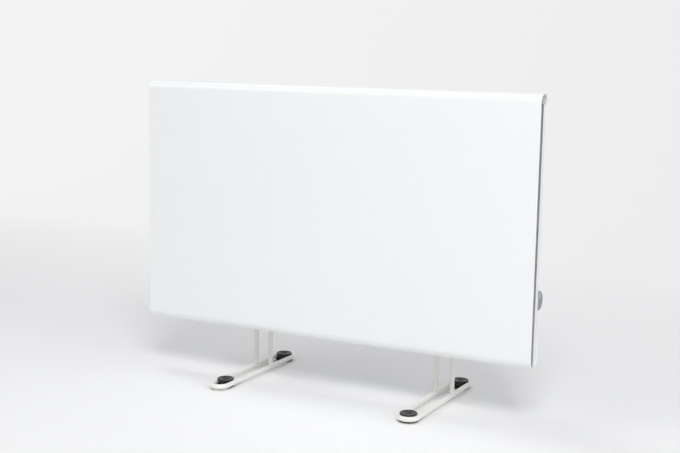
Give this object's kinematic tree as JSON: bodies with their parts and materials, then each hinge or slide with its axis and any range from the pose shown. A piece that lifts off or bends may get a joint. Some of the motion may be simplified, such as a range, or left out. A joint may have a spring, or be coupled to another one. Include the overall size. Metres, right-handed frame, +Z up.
{
  "type": "panel convector heater",
  "caption": "Slim white panel convector heater on two bent-rod floor stands with sliding black feet; thermostat dial and rocker switch behind the right edge.",
  "frame": {"origin": "on the floor, below the middle of the overall width and depth", "axes": "+X along the panel towards the controls, +Y towards the back, +Z up"},
  "size_m": [0.607, 0.217, 0.441],
  "materials": {
    "white_paint": "smooth satin white powder coat",
    "casing_paint": "satin white powder coat",
    "stand_paint": "satin warm white powder coat",
    "zinc_steel": "bright zinc plate",
    "black_steel": "black oxide",
    "aluminium": "mill finish",
    "sheath_steel": "heat-dulled sheath",
    "white_plastic": "fine moulded texture",
    "black_plastic": "fine moulded texture",
    "grey_plastic": "satin moulded grey",
    "black_rubber": "matt moulded rubber",
    "ceramic": "unglazed insulating moulding",
    "live_lead": "heat-proof lead covering",
    "neutral_lead": "heat-proof lead covering",
    "earth_lead": "heat-proof lead covering"
  },
  "bodies": {
    "heater": {"casing_screw_1": "zinc_steel", "casing_screw_2": "zinc_steel", "casing_screw_3": "zinc_steel", "casing_screw_4": "zinc_steel", "channel_screw_1": "zinc_steel", "channel_screw_2": "zinc_steel", "channel_screw_3": "zinc_steel", "channel_screw_4": "zinc_steel", "clamp_screw_left": "zinc_steel", "clamp_screw_right": "zinc_steel", "control_box_base": "white_plastic", "control_box_cover": "white_plastic", "cord_gland": "black_plastic", "cover_screw_1": "zinc_steel", "cover_screw_2": "zinc_steel", "earth_screw": "zinc_steel", "element_bracket_left": "zinc_steel", "element_bracket_right": "zinc_steel", "element_bush_left": "ceramic", "element_bush_right": "ceramic", "element_fins": "aluminium", "element_tube": "sheath_steel", "front_panel": "white_paint", "lead_cutout_link": "live_lead", "lead_earth": "earth_lead", "lead_grommet": "black_rubber", "lead_live": "live_lead", "lead_neutral": "neutral_lead", "mounting_channel_left": "casing_paint", "mounting_channel_right": "casing_paint", "overheat_cutout": "ceramic", "rear_casing": "casing_paint", "rod_clamp_left": "zinc_steel", "rod_clamp_right": "zinc_steel", "stand_loop_left": "stand_paint", "stand_loop_right": "stand_paint", "stand_uprights_left": "stand_paint", "stand_uprights_right": "stand_paint", "switch_housing": "black_plastic", "terminal_block": "ceramic", "thermostat_body": "black_plastic", "thermostat_nut": "zinc_steel"},
    "dial": {"thermostat_dial": "grey_plastic", "thermostat_spindle": "zinc_steel"},
    "rocker": {"switch_rocker": "black_plastic"},
    "foot_front_left": {"foot_cap_front_left": "black_plastic", "foot_pad_front_left": "black_rubber", "foot_screw_front_left": "black_steel"},
    "foot_back_left": {"foot_cap_back_left": "black_plastic", "foot_pad_back_left": "black_rubber", "foot_screw_back_left": "black_steel"},
    "foot_front_right": {"foot_cap_front_right": "black_plastic", "foot_pad_front_right": "black_rubber", "foot_screw_front_right": "black_steel"},
    "foot_back_right": {"foot_cap_back_right": "black_plastic", "foot_pad_back_right": "black_rubber", "foot_screw_back_right": "black_steel"}
  },
  "joints": [
    {"name": "thermostat_turn", "type": "hinge", "parent": "heater", "child": "dial", "pos_m": [0.283, 0.002, 0.164], "axis": [-1, 0, 0], "range_deg": [0, 270]},
    {"name": "switch_rock", "type": "hinge", "parent": "heater", "child": "rocker", "pos_m": [0.284, 0.002, 0.199], "axis": [0, 1, 0], "range_deg": [0, 14]},
    {"name": "foot_front_left_slide", "type": "slide", "parent": "heater", "child": "foot_front_left", "axis": [0, 1, 0], "range_m": [-0.015, 0.087]},
    {"name": "foot_back_left_slide", "type": "slide", "parent": "heater", "child": "foot_back_left", "axis": [0, 1, 0], "range_m": [-0.045, 0]},
    {"name": "foot_front_right_slide", "type": "slide", "parent": "heater", "child": "foot_front_right", "axis": [0, 1, 0], "range_m": [0, 0.102]},
    {"name": "foot_back_right_slide", "type": "slide", "parent": "heater", "child": "foot_back_right", "axis": [0, 1, 0], "range_m": [-0.045, 0]}
  ]
}
